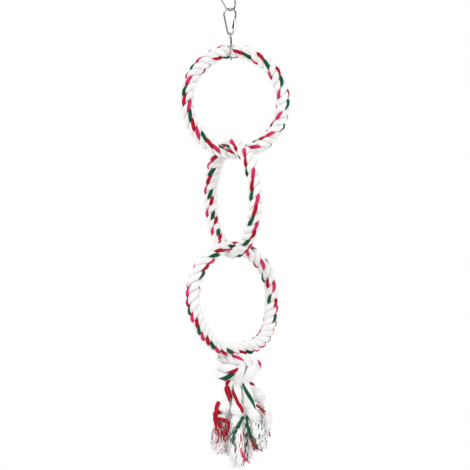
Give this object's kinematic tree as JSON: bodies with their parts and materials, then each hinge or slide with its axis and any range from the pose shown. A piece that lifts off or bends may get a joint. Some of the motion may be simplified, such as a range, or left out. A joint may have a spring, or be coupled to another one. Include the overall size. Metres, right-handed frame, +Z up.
{
  "type": "rope ring perch",
  "caption": "Hanging bird perch of interlinked rings of thick twisted cotton rope with a knotted, frayed rope tassel, carried by a chain of pear-shaped wire quick links.",
  "frame": {"origin": "inside of the hanging link's top bend, where the hook or bar that carries the perch touches it", "axes": "+Z up along the hanging chain, +X to the right of the front view, which looks along +Y"},
  "size_m": [0.1516, 0.1458, 0.6811],
  "materials": {
    "nickel_wire": "nickel-plated, polished",
    "cotton_rope": "twisted white cotton with red, pink and green yarns",
    "cotton_yarn": "loose cotton yarns, white with red, pink and green"
  },
  "bodies": {
    "hanging_link": {"hanging_link": "nickel_wire"},
    "hanging_link_nut": {"hanging_link_nut": "nickel_wire"},
    "middle_link": {"middle_link": "nickel_wire"},
    "middle_link_nut": {"middle_link_nut": "nickel_wire"},
    "ring_link": {"ring_link": "nickel_wire"},
    "ring_link_nut": {"ring_link_nut": "nickel_wire"},
    "top_ring": {"top_rope_ring": "cotton_rope"},
    "middle_ring": {"middle_rope_ring": "cotton_rope"},
    "bottom_ring": {"bottom_rope_ring": "cotton_rope", "tassel_knot": "cotton_rope"},
    "left_tail": {"left_strand": "cotton_rope", "left_strand_knot": "cotton_rope", "left_fringe": "cotton_yarn"},
    "front_tail": {"front_strand": "cotton_rope", "front_strand_knot": "cotton_rope", "front_fringe": "cotton_yarn"},
    "right_tail": {"right_strand": "cotton_rope", "right_strand_knot": "cotton_rope", "right_fringe": "cotton_yarn"},
    "far_right_tail": {"far_right_strand": "cotton_rope", "far_right_strand_knot": "cotton_rope", "far_right_fringe": "cotton_yarn"},
    "back_tail": {"back_strand": "cotton_rope", "back_strand_knot": "cotton_rope", "back_fringe": "cotton_yarn"},
    "back_left_tail": {"back_left_strand": "cotton_rope", "back_left_strand_knot": "cotton_rope", "back_left_fringe": "cotton_yarn"}
  },
  "joints": [
    {"name": "hanging_link_nut_travel", "type": "slide", "parent": "hanging_link", "child": "hanging_link_nut", "axis": [-0.0801, -0.0747, 0.994], "range_m": [0, 0.0057]},
    {"name": "middle_link_swing", "type": "hinge", "parent": "hanging_link", "child": "middle_link", "pos_m": [0.00658, 0.00613, -0.04855], "axis": [0.7314, 0.682, 0], "range_deg": [-35, 35]},
    {"name": "middle_link_nut_travel", "type": "slide", "parent": "middle_link", "child": "middle_link_nut", "axis": [0.1822, 0, 0.9833], "range_m": [0, 0.0067]},
    {"name": "ring_link_swing", "type": "hinge", "parent": "middle_link", "child": "ring_link", "pos_m": [0.00658, 0.00613, -0.08225], "axis": [1, 0, 0], "range_deg": [-40, 40]},
    {"name": "ring_link_nut_travel", "type": "slide", "parent": "ring_link", "child": "ring_link_nut", "axis": [0.0254, 0.1804, 0.9833], "range_m": [0, 0.0047]},
    {"name": "top_ring_swing", "type": "hinge", "parent": "ring_link", "child": "top_ring", "pos_m": [0.00658, 0.00613, -0.11095], "axis": [0.1392, 0.9903, 0], "range_deg": [-8, 5]},
    {"name": "middle_ring_swing", "type": "hinge", "parent": "top_ring", "child": "middle_ring", "pos_m": [0.00452, 0.00577, -0.2553], "axis": [0.9792, 0.1727, -0.1069], "range_deg": [-20, 20]},
    {"name": "bottom_ring_swing", "type": "hinge", "parent": "middle_ring", "child": "bottom_ring", "pos_m": [0.00452, 0.00577, -0.40669], "axis": [0.4384, -0.8988, 0], "range_deg": [-8, 4]},
    {"name": "left_tail_swing", "type": "hinge", "parent": "bottom_ring", "child": "left_tail", "pos_m": [-0.00479, -0.00168, -0.56075], "axis": [-0.2728, 0.9621, 0], "range_deg": [0, 25]},
    {"name": "front_tail_swing", "type": "hinge", "parent": "bottom_ring", "child": "front_tail", "pos_m": [0.00581, -0.00168, -0.55981], "axis": [-0.9734, 0.229, 0], "range_deg": [0, 25]},
    {"name": "right_tail_swing", "type": "hinge", "parent": "bottom_ring", "child": "right_tail", "pos_m": [0.01641, -0.00168, -0.55625], "axis": [-0.3036, -0.9528, 0], "range_deg": [0, 25]},
    {"name": "far_right_tail_swing", "type": "hinge", "parent": "bottom_ring", "child": "far_right_tail", "pos_m": [0.01641, 0.00932, -0.55625], "axis": [0.264, -0.9645, 0], "range_deg": [0, 15]},
    {"name": "back_tail_swing", "type": "hinge", "parent": "bottom_ring", "child": "back_tail", "pos_m": [0.00581, 0.00932, -0.55981], "axis": [0.8209, -0.5711, 0], "range_deg": [0, 25]},
    {"name": "back_left_tail_swing", "type": "hinge", "parent": "bottom_ring", "child": "back_left_tail", "pos_m": [-0.00479, 0.00932, -0.56075], "axis": [0.6744, 0.7383, 0], "range_deg": [0, 25]}
  ]
}
